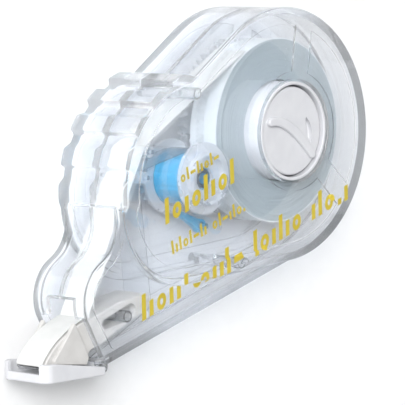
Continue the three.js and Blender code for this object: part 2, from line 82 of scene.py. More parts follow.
SPOKE_ANGLES = (66, -59)
HUB_OPENING = 10.6
HUB_RING_WIDTH = 1.6

TOOTH_MODULE = 0.5
PRESSURE_ANGLE = 20
DEDENDUM, ADDENDUM = 0.62, 0.42
ROOT_FLARE = 0.3
SUPPLY_TEETH, TAKE_UP_TEETH = 74, 26
GEAR_LOW, GEAR_HIGH = 2.1, 3.6
TOOTH_SHARE = 0.38
HOLE_COUNT, HOLE_REACH, HOLE_RADIUS, HOLE_FIRST = 6, 11.5, 3.2, 30
BOSS_RADIUS = 5.4
TAKE_UP = Vector((-25.06, -1.4))
ROLL_RADIUS = 18.8
CORE_OUTER, CORE_INNER, CORE_FLANGE = 10.1, 9.4, 12.6
CORE_LOW, CORE_TOP = 4.4, 17.2
SPINDLE, SPINDLE_BORE, SPINDLE_TOP = 3.0, 1.8, 14
GEAR_BORE = SPINDLE + 0.4
TAKE_UP_SPINDLE, TAKE_UP_SPINDLE_BORE, TAKE_UP_SPINDLE_TOP = 2.0, 1.1, 13.4
TAKE_UP_BORE = TAKE_UP_SPINDLE + 0.3
BARREL, BARREL_LOW, BARREL_TOP = 5.5, 5.1, 12.7
BARREL_FLAT = 0.12
FILM_WRAP, FILM_INNER = 5.95, 5.65
NECK_TOP = 4.4
LOWER_NECK, LOWER_FLANGE, LOWER_FLANGE_LOW, LOWER_FLANGE_HIGH = 5, 7.6, 4.0, 4.8
FLANGE, FLANGE_LOW, FLANGE_HIGH = 7.2, 13.0, 13.8
COLLAR_OUTER, COLLAR_INNER, COLLAR_TOP = 5.2, 4.4, 15.4
DISC_RADIUS, DISC_TOP, DISC_THICKNESS, RIDGE_TOP = 9.05, 16.6, 1.6, 17.5
STEM_RADIUS, STEM_LOW = 4.7, GEAR_HIGH + 0.8
POCKET_DEPTH = 1
POCKET_OUTER, POCKET_OUTER_RADIUS, POCKET_OUTER_HALF = Vector((1.5, -1.5)), 4.5, 38
POCKET_INNER, POCKET_INNER_RADIUS, POCKET_INNER_HALF = Vector((9.5, -1.5)), 5.3, 32
ARM_CURVE = ((-6.1, 3.9), (-2.0, 3.6), (1.4, -1.0), (4.1, -6.4))
ARM_HALF_WIDTH = 1.05

GUIDE_UPPER, GUIDE_LOWER = Vector((-37.4, 8.5)), Vector((-40.0, 4.1))
GUIDE_RADIUS, GUIDE_BORE, GUIDE_LOW, GUIDE_TOP = 1.15, 0.75, 5.0, 12.8
GUIDE_PIN, GUIDE_PIN_TOP = 0.45, 13.6
LOCATORS = (
    (Vector((-24.5, 16.2)), FACE_THICKNESS),
    (Vector((-21, -20.8)), FACE_THICKNESS),
    (Vector((-54, -19.2)), FACE_THICKNESS + NOSE_INSET),
)
LOCATOR_POST, LOCATOR_PIN, LOCATOR_PIN_TOP, LOCATOR_BORE = 1.2, 0.55, 11.5, 0.85
PAWL_PIVOT, PAWL_TIP, PAWL_TIP_RADIUS = Vector((-18.4, -14.6)), Vector((-24.4, -8.95)), 0.3
PAWL_EYE, PAWL_BORE, PAWL_ARM, PAWL_PIN, PAWL_PIN_TOP = 1.4, 0.9, 1.1, 0.6, 5
HINGE = Vector((-61.4, -27.0))
HINGE_EYE, HINGE_BORE, HINGE_PIN = 1.15, 0.75, 0.5
HINGE_PIN_ENDS = (4.3, 13.3)
EAR_FLARE, EAR_SINK = 0.8, 0.4
FAR_EAR, NEAR_EAR, KNUCKLE = (4.6, 5.8), (11.8, 13), (6.1, 11.5)
TIP, TIP_RADIUS = Vector((-75.0, -20.9)), 0.6
SHANK_END, SHANK_RADIUS = Vector((-47.2, -19.0)), 1.7
SLOT_BACK, SLOT_BACK_RADIUS = Vector((-58.6, -19.1)), 1.0
SLOT_FRONT, SLOT_FRONT_RADIUS = Vector((-51.5, -19.2)), 1.5
NOTCH_FIRST, NOTCH_PITCH, NOTCH_WIDTH, NOTCH_COUNT = -56.5, 1.9, 0.7, 4
NOTCH_FLOOR, NOTCH_DEPTH = -23, -21.25
WEDGE_SIDE, FIN_INNER, FIN_OUTER = 0.4, 0.2, 1.1
LIFT = TOUCH_GAP + TAPE_THICKNESS / 2
COVER_LENGTH, COVER_WIDTH, COVER_FLOOR, COVER_WALL, COVER_LIP = 15.7, 12.4, 0.9, 0.9, 1.7
COVER_HEIGHT, COVER_BACK, COVER_SHOULDER, COVER_SLOPE, COVER_CORNER = 3.6, 1.5, 2.5, -16.1, 2
COVER_FRONT = Vector((-78.3, -23.3))
# A union or cut is safest where no two faces lie in one plane, so one of each such pair steps back.
COINCIDENT = 0.02


# ---------------------------------------------------------------- plane geometry
def polar(centre, radius, degrees):
    angle = math.radians(degrees)
    return centre + Vector((radius * math.cos(angle), radius * math.sin(angle)))


def arc(centre, radius, start, end, steps):
    return [polar(centre, radius, start + (end - start) * i / steps) for i in range(steps + 1)]


def circle(centre, radius, sides=96):
    return arc(centre, radius, 0, 360, sides)[:-1]


def bearing(start, end):
    return math.degrees(math.atan2(end.y - start.y, end.x - start.x))


def bezier(controls, steps):
    """Points and unit tangents along a Bezier curve of any order."""
    found = []
    for i in range(steps + 1):
        share = i / steps
        level = [Vector(c) for c in controls]
        while len(level) > 2:
            level = [a.lerp(b, share) for a, b in zip(level, level[1:])]
        found.append((level[0].lerp(level[1], share), (level[1] - level[0]).normalized()))
    return found


def clean(points, nearest=0.01):
    """The outline counter-clockwise, with no doubled points."""
    kept = []
    for p in points:
        if not kept or (p - kept[-1]).length > nearest:
            kept.append(p)
    if (kept[0] - kept[-1]).length <= nearest:
        kept.pop()
    area = sum(a.x * b.y - b.x * a.y for a, b in zip(kept, kept[1:] + kept[:1]))
    return kept if area > 0 else kept[::-1]


def rounded(points, radius, least_turn=14, steps=5):
    """The outline with every corner sharper than least_turn eased to about that radius."""
    points = clean(points)
    out = []
    for i, corner in enumerate(points):
        before, after = points[i - 1], points[(i + 1) % len(points)]
        back, ahead = before - corner, after - corner
        turn = math.pi - back.angle(ahead)
        if math.degrees(turn) < least_turn:
            out.append(corner)
            continue
        reach = min(radius * math.tan(turn / 2), 0.45 * back.length, 0.45 * ahead.length)
        start, end = corner + back.normalized() * reach, corner + ahead.normalized() * reach
        out += [p for p, _ in bezier([start, corner, end], steps)]
    return clean(out)


def shrunk(points, amount):
    """The counter-clockwise outline moved inwards by an even amount."""
    if not amount:
        return points
    out = []
    for i, p in enumerate(points):
        a = (p - points[i - 1]).normalized()
        b = (points[(i + 1) % len(points)] - p).normalized()
        normals = Vector((-a.y - b.y, a.x + b.x))
        out.append(p + normals * (amount / max(1 + a.dot(b), 0.5)))
    return out


# ---------------------------------------------------------------- mesh helpers
def mesh_object(verts, faces):
    mesh = bpy.data.meshes.new("shape")
    mesh.from_pydata([tuple(v) for v in verts], [], faces)
    bm = bmesh.new()
    bm.from_mesh(mesh)
    bmesh.ops.recalc_face_normals(bm, faces=bm.faces)
    bm.to_mesh(mesh)
    bm.free()
    shape = bpy.data.objects.new("shape", mesh)
    bpy.context.scene.collection.objects.link(shape)
    return shape


def rim_levels(low, high, low_ease, high_ease, steps=4):
    """Heights and insets of the loops that make a slab with eased rims."""
    quarter = [math.pi / 2 * i / steps for i in range(steps + 1)]
    levels = [(low, 0.0)]
    if low_ease:
        levels = [(low + low_ease * (1 - math.cos(a)), low_ease * (1 - math.sin(a))) for a in quarter]
    if high_ease:
        return levels + [
            (high - high_ease * (1 - math.cos(a)), high_ease * (1 - math.sin(a))) for a in quarter[::-1]
        ]
    return levels + [(high, 0.0)]


def slab(outline, low, high, low_ease=0.0, high_ease=0.0):
    """A closed upright solid over an outline, with its two rims eased."""
    outline = clean(outline)
    count = len(outline)
    levels = rim_levels(low, high, low_ease, high_ease)
    verts = [(p.x, p.y, z) for z, inset in levels for p in shrunk(outline, inset)]
    faces = [tuple(range(count))[::-1], tuple(range(len(verts) - count, len(verts)))]
    for level in range(len(levels) - 1):
        base = level * count
        for i in range(count):
            j = (i + 1) % count
            faces.append((base + i, base + j, base + count + j, base + count + i))
    return mesh_object(verts, faces)


def lathe(profile, centre=ORIGIN, ease=0.0, steps=128):
    """A closed ring turned from a profile of radius and height."""
    points = rounded([Vector(p) for p in profile], ease, 30, 4) if ease else [Vector(p) for p in profile]
    count = len(points)
    verts = []
    for i in range(steps):
        angle = 2 * math.pi * i / steps
        verts += [(centre.x + p.x * math.cos(angle), centre.y + p.x * math.sin(angle), p.y) for p in points]
    faces = []
    for i in range(steps):
        a, b = i * count, (i + 1) % steps * count
        faces += [(a + k, b + k, b + (k + 1) % count, a + (k + 1) % count) for k in range(count)]
    return mesh_object(verts, faces)


def tube(centre, outer, inner, low, high, ease=0.12, steps=96):
    return lathe([(inner, low), (outer, low), (outer, high), (inner, high)], centre, ease, steps)


def post(centre, radius, low, high, ease=0.1, sides=48):
    return slab(circle(centre, radius, sides), low, high, 0.0, ease)


def block(low, high):
    (left, front, bottom), (right, back, top) = low, high
    corners = [Vector(c) for c in ((left, front), (right, front), (right, back), (left, back))]
    return slab(corners, bottom, top)


def combine(operation, target, *tools):
    """Applies one boolean operation after another to the target and deletes the tools."""
    for tool in tools:
        modifier = target.modifiers.new("combine", "BOOLEAN")
        modifier.operation = operation
        modifier.solver = "EXACT"
        modifier.object = tool
        graph = bpy.context.evaluated_depsgraph_get()
        mesh = bpy.data.meshes.new_from_object(target.evaluated_get(graph))
        target.modifiers.remove(modifier)
        old = target.data
        target.data = mesh
        bpy.data.meshes.remove(old)
        bpy.data.objects.remove(tool)
    return target


def joined(target, *tools):
    return combine("UNION", target, *tools)


def cut(target, *tools):
    return combine("DIFFERENCE", target, *tools)


def piece(shape, name, body, slot, look, *nodes, sharp=32):
    """Turns a drawn shape into a finished piece that rides on a body and stands for CAD nodes."""
    shape.name = shape.data.name = name
    shape.data.transform(Matrix.Scale(MM, 4))
    for polygon in shape.data.polygons:
        polygon.use_smooth = True
    shape.data.set_sharp_from_angle(angle=math.radians(sharp))
    shape.modifiers.new("even shading", "WEIGHTED_NORMAL").keep_sharp = True
    shape.data.materials.clear()
    shape.data.materials.append(look)
    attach(shape, body)
    if nodes:
        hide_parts(*nodes)
    return shape


# ---------------------------------------------------------------- materials
def blank(name):
    look = bpy.data.materials.new(name)
    look.use_nodes = True
    nodes, links = look.node_tree.nodes, look.node_tree.links
    return look, nodes, links, nodes["Principled BSDF"]


def mottle(nodes, links, scale, low, high, detail=4):
    """A noise pattern over the object, as a number between two values."""
    place = nodes.new("ShaderNodeTexCoord")
    noise = nodes.new("ShaderNodeTexNoise")
    noise.inputs["Scale"].default_value = scale
    noise.inputs["Detail"].default_value = detail
    span = nodes.new("ShaderNodeMapRange")
    span.inputs["From Min"].default_value = 0.3
    span.inputs["From Max"].default_value = 0.7
    span.inputs["To Min"].default_value = low
    span.inputs["To Max"].default_value = high
    links.new(place.outputs["Object"], noise.inputs["Vector"])
    links.new(noise.outputs["Fac"], span.inputs["Value"])
    return span.outputs["Result"]


def blended(nodes, links, share, first, second):
    mix = nodes.new("ShaderNodeMix")
    mix.data_type = "RGBA"
    mix.inputs["A"].default_value = (*first, 1)
    mix.inputs["B"].default_value = (*second, 1)
    links.new(share, mix.inputs["Factor"])
    return mix.outputs["Result"]


def bumped(nodes, links, bsdf, height, strength, distance=0.0001):
    """Raises a pattern on the surface, with a depth in metres."""
    bump = nodes.new("ShaderNodeBump")
    bump.inputs["Strength"].default_value = strength
    bump.inputs["Distance"].default_value = distance
    links.new(height, bump.inputs["Height"])
    links.new(bump.outputs["Normal"], bsdf.inputs["Normal"])


def opaque(name, first, second, gloss, bump=0.12, metallic=0.0):
    """A moulded or metal surface: two close tones, uneven gloss and a fine grain."""
    look, nodes, links, bsdf = blank(name)
    tone = blended(nodes, links, mottle(nodes, links, 300, 0, 1), first, second)
    links.new(tone, bsdf.inputs["Base Color"])
    links.new(mottle(nodes, links, 900, *gloss), bsdf.inputs["Roughness"])
    bsdf.inputs["Metallic"].default_value = metallic
    bumped(nodes, links, bsdf, mottle(nodes, links, 3600, 0, 1), bump, 0.00002)
    return look


def clear(name, first, second, gloss, index, openness, shade, solidity=1.0, edge=None):
    """A see-through plastic with a faint moulding flow and a cooler edge tone. Lamps shine through it."""
    look, nodes, links, bsdf = blank(name)
    tone = blended(nodes, links, mottle(nodes, links, 60, 0, 1), first, second)
    if edge:
        facing = nodes.new("ShaderNodeLayerWeight")
        facing.inputs["Blend"].default_value = 0.18
        rim = nodes.new("ShaderNodeMix")
        rim.data_type = "RGBA"
        rim.inputs["B"].default_value = (*edge, 1)
        links.new(facing.outputs["Facing"], rim.inputs["Factor"])
        links.new(tone, rim.inputs["A"])
        tone = rim.outputs["Result"]
    links.new(tone, bsdf.inputs["Base Color"])
    links.new(mottle(nodes, links, 180, *gloss), bsdf.inputs["Roughness"])
    bsdf.inputs["Transmission Weight"].default_value = openness
    bsdf.inputs["IOR"].default_value = index
    bsdf.inputs["Alpha"].default_value = solidity
    bumped(nodes, links, bsdf, mottle(nodes, links, 45, 0, 1, 2), 0.1)
    through = nodes.new("ShaderNodeBsdfTransparent")
    through.inputs["Color"].default_value = (*shade, 1)
    path = nodes.new("ShaderNodeLightPath")
    mix = nodes.new("ShaderNodeMixShader")
    links.new(path.outputs["Is Shadow Ray"], mix.inputs[0])
    links.new(bsdf.outputs["BSDF"], mix.inputs[1])
    links.new(through.outputs["BSDF"], mix.inputs[2])
    links.new(mix.outputs["Shader"], nodes["Material Output"].inputs["Surface"])
    return look


def wound(name):
    """The edge of many turns of tape: grey-green rings, each a little different, and a pale outer turn."""
    look, nodes, links, bsdf = blank(name)
    place = nodes.new("ShaderNodeTexCoord")
    flat = nodes.new("ShaderNodeVectorMath")
    flat.operation = "MULTIPLY"
    flat.inputs[1].default_value = (1, 1, 0)
    radius = nodes.new("ShaderNodeVectorMath")
    radius.operation = "LENGTH"
    turns = nodes.new("ShaderNodeTexNoise")
    turns.noise_dimensions = "1D"
    turns.inputs["Scale"].default_value = 9000
    turns.inputs["Detail"].default_value = 3
    links.new(place.outputs["Object"], flat.inputs[0])
    links.new(flat.outputs["Vector"], radius.inputs[0])
    links.new(radius.outputs["Value"], turns.inputs["W"])
    side = blended(nodes, links, turns.outputs["Fac"], (0.23, 0.275, 0.295), (0.36, 0.41, 0.435))
    outer = nodes.new("ShaderNodeMapRange")
    outer.inputs["From Min"].default_value = (ROLL_RADIUS - 0.22) * MM
    outer.inputs["From Max"].default_value = (ROLL_RADIUS - 0.12) * MM
    links.new(radius.outputs["Value"], outer.inputs["Value"])
    mix = nodes.new("ShaderNodeMix")
    mix.data_type = "RGBA"
    mix.inputs["B"].default_value = (0.72, 0.75, 0.77, 1)
    links.new(side, mix.inputs["A"])
    links.new(outer.outputs["Result"], mix.inputs["Factor"])
    links.new(mix.outputs["Result"], bsdf.inputs["Base Color"])
    links.new(mottle(nodes, links, 700, 0.42, 0.6), bsdf.inputs["Roughness"])
    bumped(nodes, links, bsdf, turns.outputs["Fac"], 0.3, 0.00003)
    return look


CASE_CLEAR = clear(
    "clear_styrene", (0.975, 0.98, 0.99), (0.99, 0.992, 0.996), (0.01, 0.04), 1.27, 1,
    shade=(0.74, 0.76, 0.785), solidity=0.8, edge=(0.66, 0.72, 0.8),
)
GEAR_CLEAR = clear(
    "natural_nylon", (0.8, 0.82, 0.85), (0.86, 0.875, 0.9), (0.22, 0.34), 1.42, 0.55, shade=(0.6, 0.62, 0.65),
)
FILM_CLEAR = clear(
    "release_film", (0.95, 0.96, 0.965), (0.98, 0.985, 0.99), (0.1, 0.2), 1.3, 1, shade=(0.92, 0.93, 0.94),
)
WHITE = opaque("white_styrene", (0.58, 0.585, 0.61), (0.63, 0.635, 0.655), (0.3, 0.42))
HEAD_WHITE = opaque("head_white", (0.53, 0.52, 0.505), (0.59, 0.58, 0.565), (0.34, 0.46))
BLUE = opaque("cyan_styrene", (0.015, 0.38, 0.68), (0.025, 0.45, 0.76), (0.24, 0.36))
TAPE_WHITE = opaque("correction_layer", (0.6, 0.61, 0.6), (0.66, 0.665, 0.655), (0.5, 0.66), bump=0.2)
STEEL = opaque("drawn_wire", (0.5, 0.51, 0.53), (0.66, 0.67, 0.69), (0.2, 0.34), metallic=1.0)
GOLD = opaque("gold_ink", (0.52, 0.4, 0.02), (0.62, 0.49, 0.045), (0.35, 0.55), metallic=0.15, bump=0.3)
WOUND = wound("wound_tape_edge")


# ---------------------------------------------------------------- case outlines
def grip_points(inset, ribbed):
    if not ribbed:
        return arc(GRIP, VALLEY_RADIUS - inset, SHOULDER_ANGLE, GRIP_END_ANGLE, 48)
    points = [polar(GRIP, VALLEY_RADIUS - inset, SHOULDER_ANGLE)]
    for rib in range(RIB_COUNT):
        start = RIB_FIRST + RIB_PITCH * rib
        points += arc(GRIP, RIB_RADIUS - inset, start, start + RIB_LAND, 3)
        if rib < RIB_COUNT - 1:
            dip, rise = start + RIB_LAND + RIB_DROP, start + RIB_PITCH - RIB_RISE
            points += arc(GRIP, VALLEY_RADIUS - inset, dip, rise, 2)
    return points


def belly_and_grip(inset, ribbed, start):
    radius = BELLY_RADIUS - inset
    shoulder = polar(GRIP, VALLEY_RADIUS - inset, SHOULDER_ANGLE)
    half = math.degrees(math.acos(min(1, radius / (shoulder - BELLY).length)))
    end = bearing(BELLY, shoulder) - half
    return arc(BELLY, radius, start, end, 90) + grip_points(inset, ribbed)


def case_outline(inset, ribbed, open_mouth=False):
    """The whole case: rail, belly, grip, neck and nose. An open mouth runs on past the nose."""
    neck_end = bearing(NECK, NOSE)
    points = belly_and_grip(inset, ribbed, -90)
    points += arc(NECK, NECK_RADIUS + inset, 0, neck_end, 28)
    points += arc(NOSE, NOSE_RADIUS - inset, neck_end + 180, NOSE_END_ANGLE, 36)[1:]
    last = points[-1]
    if open_mouth:
        points += [Vector((last.x - MOUTH_REACH, last.y)), Vector((last.x - MOUTH_REACH, RAIL_Y + inset))]
    else:
        points.append(HEEL + Vector((inset, inset)))
    return rounded(points, CORNER_EASE)


def body_outline(inset, ribbed):
    """The wide part of the case, whose side faces stand out past the nose and the rail."""
    radius, belly = PANEL_RADIUS - inset, BELLY_RADIUS - inset
    apart = (BELLY - PANEL_ARC).length
    low = bearing(PANEL_ARC, BELLY) - math.degrees(math.acos((radius - belly) / apart))
    points = belly_and_grip(inset, ribbed, low) + arc(PANEL_ARC, radius, PANEL_START, 360 + low, 60)
    return rounded(points, CORNER_EASE)


# ---------------------------------------------------------------- case halves
def half_shell():
    """The lower half, lying on its side face. The upper half is its mirror image."""
    top = MIDDLE - SEAM_GAP / 2
    nose_floor = NOSE_INSET + FACE_THICKNESS
    shell = joined(
        slab(body_outline(0, True), INK_ROOM, top, RIM_EASE),
        slab(case_outline(COINCIDENT, True), NOSE_INSET, top, RIM_EASE),
    )
    window = block(
        (NOSE.x - NOSE_RADIUS - WINDOW_DEPTH, NOSE.y - MOUTH_REACH, TAPE_LOW - TOUCH_GAP),
        (NOSE.x - WINDOW_DEPTH, WINDOW_TOP, top + 2 * OVERCUT),
    )
    return cut(
        shell,
        slab(body_outline(WALL, False), FACE_THICKNESS, top + OVERCUT, CAVITY_EASE),
        slab(case_outline(WALL + COINCIDENT, False, True), nose_floor, top + 1.5 * OVERCUT, CAVITY_EASE),
        window,
    )


def panel_recesses():
    wheel = post(ORIGIN, HUB_OPENING + HUB_RING_WIDTH, -2 * OVERCUT, 2 * OVERCUT, 0, 128)
    spokes = []
    for angle in SPOKE_ANGLES:
        side = polar(ORIGIN, SPOKE_WIDTH / 2, angle + 90)
        start, end = polar(ORIGIN, HUB_OPENING + ROOT, angle), polar(ORIGIN, SPOKE_REACH, angle)
        corners = [start - side, end - side, end + side, start + side]
        spokes.append(slab(corners, -2.5 * OVERCUT, 2.5 * OVERCUT))
    body = cut(slab(body_outline(BODY_RIM, False), -OVERCUT, PANEL_RECESS, 0, 0.2), wheel, *spokes)
    nose = cut(
        slab(case_outline(NOSE_RIM, False), NOSE_INSET - OVERCUT, NOSE_INSET + PANEL_RECESS, 0, 0.2),
        slab(body_outline(-0.05, False), NOSE_INSET - 2 * OVERCUT, NOSE_INSET + 2 * OVERCUT),
    )
    return [body, nose]


def hinge_ear(low, high):
    web = [
        Vector((HINGE.x - HINGE_EYE, HINGE.y)),
        Vector((HINGE.x + HINGE_EYE, HINGE.y)),
        Vector((HINGE.x + HINGE_EYE + EAR_FLARE, RAIL_Y + EAR_SINK)),
        Vector((HINGE.x - HINGE_EYE, RAIL_Y + EAR_SINK)),
    ]
    eye = slab(circle(HINGE, HINGE_EYE, 48), low, high, 0.1, 0.1)
    ear = joined(eye, slab(web, low + COINCIDENT, high - COINCIDENT))
    return cut(ear, slab(circle(HINGE, HINGE_BORE, 40), low - OVERCUT, high + OVERCUT))


def far_half():
    shell = cut(half_shell(), *panel_recesses())
    foot = FACE_THICKNESS - ROOT
    inside = [
        tube(ORIGIN, SPINDLE, SPINDLE_BORE, foot, SPINDLE_TOP, 0.2),
        tube(TAKE_UP, TAKE_UP_SPINDLE, TAKE_UP_SPINDLE_BORE, foot, TAKE_UP_SPINDLE_TOP, 0.2, 64),
        post(GUIDE_UPPER, GUIDE_PIN, foot, GUIDE_PIN_TOP, 0.12, 32),
        post(GUIDE_LOWER, GUIDE_PIN, foot, GUIDE_PIN_TOP, 0.12, 32),
        post(PAWL_PIVOT, PAWL_PIN, foot, PAWL_PIN_TOP, 0.12, 32),
    ]
    for place, floor_height in LOCATORS:
        base = floor_height - ROOT
        pin = post(place, LOCATOR_PIN, base, LOCATOR_PIN_TOP, 0.2, 32)
        inside.append(joined(post(place, LOCATOR_POST, base, MIDDLE - ROOT), pin))
    return joined(shell, *inside, hinge_ear(*FAR_EAR))


def near_half():
    hub = post(ORIGIN, HUB_OPENING, -2 * OVERCUT, 4 * OVERCUT, 0, 160)
    shell = cut(half_shell(), *panel_recesses(), hub)
    shell.data.transform(Matrix.Translation((0, 0, CASE_WIDTH)) @ Matrix.Scale(-1, 4, (0, 0, 1)))
    shell.data.flip_normals()
    sockets = []
    for place, floor_height in LOCATORS:
        top = CASE_WIDTH - floor_height + ROOT
        sockets.append(tube(place, LOCATOR_POST, LOCATOR_BORE, MIDDLE + SEAM_GAP, top, 0.08, 48))
    return joined(shell, *sockets, hinge_ear(*NEAR_EAR))


# ---------------------------------------------------------------- gears and reels
def involute(base, radius):
    parameter = math.sqrt(max((radius / base) ** 2 - 1, 0))
    return parameter - math.atan(parameter)


def gear_outline(centre, teeth, phase):
    """Spur gear outline with involute flanks and generous backlash."""
    pitch = teeth * TOOTH_MODULE / 2
    base = pitch * math.cos(math.radians(PRESSURE_ANGLE))
    root, tip = pitch - DEDENDUM, pitch + ADDENDUM
    low = max(base + 0.001, root)
    half = math.pi / teeth * TOOTH_SHARE + involute(base, pitch)
    points = []
    for tooth in range(teeth):
        middle = phase + 360 * tooth / teeth
        flank = []
        for i in range(5):
            radius = low + (tip - low) * i / 4
            flank.append((radius, math.degrees(half - involute(base, radius))))
        points.append(polar(centre, root, middle - flank[0][1] - ROOT_FLARE))
        points += [polar(centre, r, middle - a) for r, a in flank]
        points += [polar(centre, r, middle + a) for r, a in flank[::-1]]
        points.append(polar(centre, root, middle + flank[0][1] + ROOT_FLARE))
    return points


def supply_gear():
    rim = slab(gear_outline(ORIGIN, SUPPLY_TEETH, bearing(ORIGIN, TAKE_UP)), GEAR_LOW, GEAR_HIGH)
    boss = post(ORIGIN, BOSS_RADIUS, GEAR_HIGH - ROOT, GEAR_HIGH + 0.5, 0.1, 96)
    holes = []
    for i in range(HOLE_COUNT):
        place = polar(ORIGIN, HOLE_REACH, HOLE_FIRST + 360 * i / HOLE_COUNT)
        holes.append(post(place, HOLE_RADIUS, 0, 6, 0, 48))
    return cut(joined(rim, boss), post(ORIGIN, GEAR_BORE, 0, 6, 0, 96), *holes)


def take_up_gear():
    phase = bearing(TAKE_UP, ORIGIN) + 180 / TAKE_UP_TEETH
    teeth = slab(gear_outline(TAKE_UP, TAKE_UP_TEETH, phase), GEAR_LOW, GEAR_HIGH)
    neck = slab(circle(TAKE_UP, LOWER_NECK, 64), GEAR_HIGH - ROOT, NECK_TOP)
    flange = slab(circle(TAKE_UP, LOWER_FLANGE, 96), LOWER_FLANGE_LOW, LOWER_FLANGE_HIGH, 0.12, 0.12)
    return cut(joined(teeth, neck, flange), post(TAKE_UP, TAKE_UP_BORE, 0, 8, 0, 64))


def friction_arm():
    """The curved ridge on the disc, shallow at its free end and steep towards the rim."""
    left, right = [], []
    steps = 20
    spine = bezier(ARM_CURVE, steps)
    for i, (point, tangent) in enumerate(spine):
        side = Vector((-tangent.y, tangent.x)) * ARM_HALF_WIDTH * math.sin(math.pi * (0.3 + 0.4 * i / steps))
        left.append(point + side)
        right.append(point - side)
    reach = (right[0] - left[0]).length / 2
    heading = [bearing(Vector((0, 0)), tangent) for _, tangent in spine]
    tail = arc(spine[0][0], reach, heading[0] + 90, heading[0] + 270, 14)[1:-1]
    nose = arc(spine[-1][0], reach, heading[-1] - 90, heading[-1] + 90, 14)[1:-1]
    return slab(right + nose + left[::-1] + tail, DISC_TOP - ROOT, RIDGE_TOP, 0, 0.35)


def clutch_disc():
    plate = slab(circle(ORIGIN, DISC_RADIUS, 128), DISC_TOP - DISC_THICKNESS, DISC_TOP, 0.1, 0.5)
    crescent = arc(POCKET_OUTER, POCKET_OUTER_RADIUS, -POCKET_OUTER_HALF, POCKET_OUTER_HALF, 24)
    crescent += arc(POCKET_INNER, POCKET_INNER_RADIUS, 180 - POCKET_INNER_HALF, 180 + POCKET_INNER_HALF, 24)
    cut(plate, slab(rounded(crescent, 0.3), DISC_TOP - POCKET_DEPTH, DISC_TOP + OVERCUT, 0.3))
    ridge = friction_arm()
    stem = tube(ORIGIN, STEM_RADIUS, GEAR_BORE, STEM_LOW, DISC_TOP - DISC_THICKNESS + ROOT, 0.1)
    return joined(plate, stem, ridge)


def supply_core():
    flange_top = TAPE_LOW - TOUCH_GAP
    profile = [
        (CORE_INNER, CORE_LOW), (CORE_FLANGE, CORE_LOW), (CORE_FLANGE, flange_top),
        (CORE_OUTER, flange_top), (CORE_OUTER, CORE_TOP), (CORE_INNER, CORE_TOP),
    ]
    return lathe(profile, ORIGIN, 0.25, 160)


def tape_roll():
    """A closed ring whose two sides step a little from turn to turn."""
    seeded = random.Random(7)
    turn, seam, wander = 0.24, 0.05, 0.06
    inner = CORE_OUTER + TOUCH_GAP
    count = int((ROLL_RADIUS - inner) / turn)
    top, bottom = [], []
    for i in range(count):
        start, end = inner + turn * i, inner + turn * (i + 1) - seam
        end = ROLL_RADIUS if i == count - 1 else end
        up, down = seeded.uniform(0, wander), seeded.uniform(0, wander)
        top += [(start, TAPE_HIGH - up), (end, TAPE_HIGH - up)]
        bottom += [(start, TAPE_LOW + down), (end, TAPE_LOW + down)]
    return lathe(bottom + top[::-1], ORIGIN, 0, 192)


def take_up_flange():
    profile = [
        (TAKE_UP_BORE, FLANGE_LOW), (FLANGE, FLANGE_LOW), (FLANGE, FLANGE_HIGH), (COLLAR_OUTER, FLANGE_HIGH),
        (COLLAR_OUTER, COLLAR_TOP), (COLLAR_INNER, COLLAR_TOP), (COLLAR_INNER, FLANGE_HIGH),
        (TAKE_UP_BORE, FLANGE_HIGH),
    ]
    return lathe(profile, TAKE_UP, 0.14)


def take_up_core():
    """The barrel, with shallow lengthways flats that hold the film."""
    outline = [polar(TAKE_UP, BARREL - (BARREL_FLAT if i % 12 in (0, 1) else 0), i * 2.5) for i in range(144)]
    barrel = slab(outline, BARREL_LOW, BARREL_TOP, 0.15, 0.15)
    return cut(barrel, post(TAKE_UP, TAKE_UP_BORE, 0, 20, 0, 64))


def pawl():
    direction = bearing(PAWL_PIVOT, PAWL_TIP)
    arm = [
        polar(PAWL_PIVOT, PAWL_ARM, direction - 90), polar(PAWL_TIP, PAWL_TIP_RADIUS, direction - 90),
        polar(PAWL_TIP, PAWL_TIP_RADIUS, direction + 90), polar(PAWL_PIVOT, PAWL_ARM, direction + 90),
    ]
    body = joined(
        slab(circle(PAWL_PIVOT, PAWL_EYE, 64), GEAR_LOW, GEAR_HIGH, 0.12, 0.12),
        slab(rounded(arm, 0.2), GEAR_LOW + COINCIDENT, GEAR_HIGH - COINCIDENT, 0.12, 0.12),
    )
    return cut(body, post(PAWL_PIVOT, PAWL_BORE, 0, 6, 0, 48))


def guide_sleeve(guide):
    return tube(guide, GUIDE_RADIUS, GUIDE_BORE, GUIDE_LOW, GUIDE_TOP, 0.1, 64)


# ---------------------------------------------------------------- head, tape and cover
def crown(lift):
    """The convex top of the wedge, from the mouth of the nose to the tip, raised by a lift."""
    curve = bezier([(-62.5, -16.6), (-70.5, -16.6), polar(TIP, TIP_RADIUS, 115)], 40)
    return [p + Vector((t.y, -t.x)) * lift for p, t in curve]


def side_fin(low, high):
    edge = [p for p, _ in bezier([(-66.5, -15.6), (-70.1, -18.4), (-73.6, -20.5)], 10)]
    corners = [(-73.6, -21.3), (-65.8, -24.5), (-64.9, -23.4), (-65.3, -20.6), (-66.1, -17.4)]
    return slab(rounded(edge + [Vector(c) for c in corners], 0.35), low, high, 0.15, 0.15)


